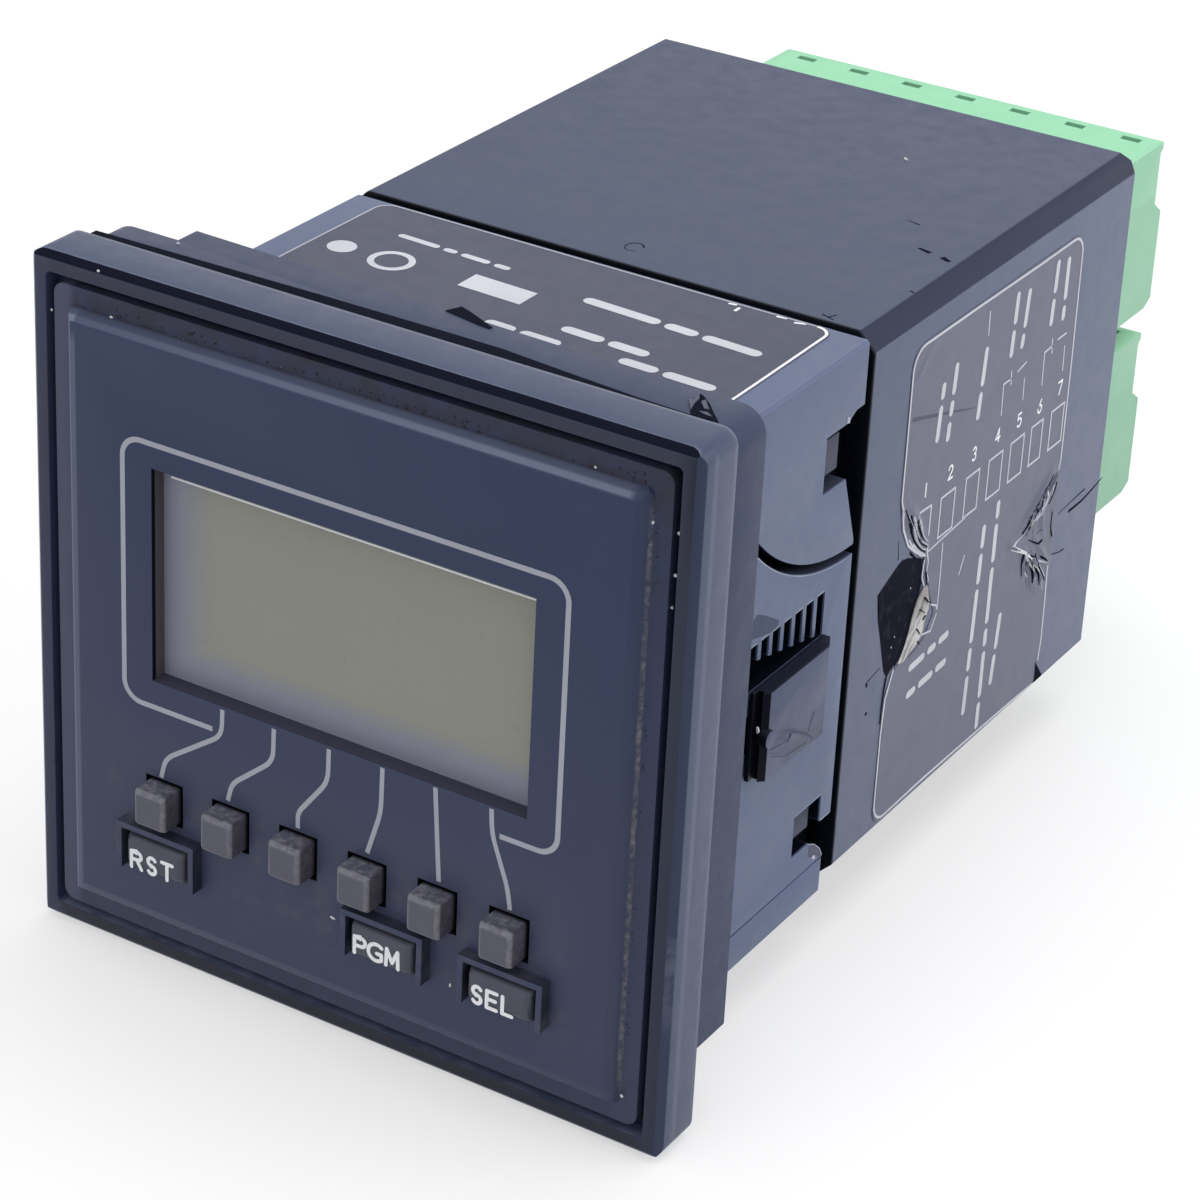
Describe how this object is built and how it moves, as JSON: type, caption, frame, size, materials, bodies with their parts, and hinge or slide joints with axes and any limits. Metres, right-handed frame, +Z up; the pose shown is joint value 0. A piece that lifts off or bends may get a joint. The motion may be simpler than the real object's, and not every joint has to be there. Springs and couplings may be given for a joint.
{
  "type": "panel counter",
  "caption": "Square panel-mounted electronic counter with a display, press keys, push-fit rear housing, sliding panel latches and plug-in terminal blocks.",
  "frame": {"origin": "centre of the panel seat, on the rear plane of the panel seal", "axes": "+X right seen from the front, +Y to the rear along the case, +Z up"},
  "size_m": [0.0534, 0.0948, 0.0534],
  "materials": {
    "bezel_plastic": "satin",
    "fascia_plastic": "satin",
    "display": "glossy",
    "light_panel": "satin",
    "strip_rubber": "matte",
    "board": "satin",
    "steel": "satin",
    "key_rubber": "matte",
    "legend_rubber": "matte",
    "seal_rubber": "matte",
    "case_plastic": "satin",
    "latch_plastic": "satin",
    "housing_plastic": "satin",
    "black_plastic": "matte",
    "transformer_steel": "satin",
    "capacitor_sleeve": "glossy",
    "header_plastic": "satin",
    "pin_brass": "satin",
    "plug_plastic": "satin"
  },
  "bodies": {
    "counter": {"bezel": "bezel_plastic", "fascia": "fascia_plastic", "display_glass": "display", "backlight": "light_panel", "contact_strips": "strip_rubber", "display_board": "board", "snap_domes": "steel", "board_screws": "steel", "panel_seal": "seal_rubber", "case": "case_plastic", "rear_housing": "housing_plastic", "upper_board": "board", "lower_board": "board", "board_links": "black_plastic", "transformer": "transformer_steel", "relays": "black_plastic", "capacitor": "capacitor_sleeve", "processor": "black_plastic", "upper_header": "header_plastic", "lower_header": "header_plastic", "header_pins": "pin_brass", "upper_plug": "plug_plastic", "lower_plug": "plug_plastic", "wire_clamps": "steel", "terminal_screws": "steel"},
    "digit_key_1": {"digit_key_1": "key_rubber"},
    "digit_key_2": {"digit_key_2": "key_rubber"},
    "digit_key_3": {"digit_key_3": "key_rubber"},
    "digit_key_4": {"digit_key_4": "key_rubber"},
    "digit_key_5": {"digit_key_5": "key_rubber"},
    "digit_key_6": {"digit_key_6": "key_rubber"},
    "reset_key": {"reset_key": "legend_rubber"},
    "program_key": {"program_key": "legend_rubber"},
    "select_key": {"select_key": "legend_rubber"},
    "latch_right": {"latch_right": "latch_plastic"},
    "latch_left": {"latch_left": "latch_plastic"}
  },
  "joints": [
    {"name": "digit_key_1_press", "type": "slide", "parent": "counter", "child": "digit_key_1", "axis": [0, 1, 0], "range_m": [0, 0.0008], "stiffness_N_per_m": 800},
    {"name": "digit_key_2_press", "type": "slide", "parent": "counter", "child": "digit_key_2", "axis": [0, 1, 0], "range_m": [0, 0.0008], "stiffness_N_per_m": 800},
    {"name": "digit_key_3_press", "type": "slide", "parent": "counter", "child": "digit_key_3", "axis": [0, 1, 0], "range_m": [0, 0.0008], "stiffness_N_per_m": 800},
    {"name": "digit_key_4_press", "type": "slide", "parent": "counter", "child": "digit_key_4", "axis": [0, 1, 0], "range_m": [0, 0.0008], "stiffness_N_per_m": 800},
    {"name": "digit_key_5_press", "type": "slide", "parent": "counter", "child": "digit_key_5", "axis": [0, 1, 0], "range_m": [0, 0.0008], "stiffness_N_per_m": 800},
    {"name": "digit_key_6_press", "type": "slide", "parent": "counter", "child": "digit_key_6", "axis": [0, 1, 0], "range_m": [0, 0.0008], "stiffness_N_per_m": 800},
    {"name": "reset_key_press", "type": "slide", "parent": "counter", "child": "reset_key", "axis": [0, 1, 0], "range_m": [0, 0.0008], "stiffness_N_per_m": 800},
    {"name": "program_key_press", "type": "slide", "parent": "counter", "child": "program_key", "axis": [0, 1, 0], "range_m": [0, 0.0008], "stiffness_N_per_m": 800},
    {"name": "select_key_press", "type": "slide", "parent": "counter", "child": "select_key", "axis": [0, 1, 0], "range_m": [0, 0.0008], "stiffness_N_per_m": 800},
    {"name": "latch_right_slide", "type": "slide", "parent": "counter", "child": "latch_right", "axis": [0, 1, 0], "range_m": [-0.00474, 0.00158]},
    {"name": "latch_left_slide", "type": "slide", "parent": "counter", "child": "latch_left", "axis": [0, 1, 0], "range_m": [-0.00474, 0.00158]}
  ]
}
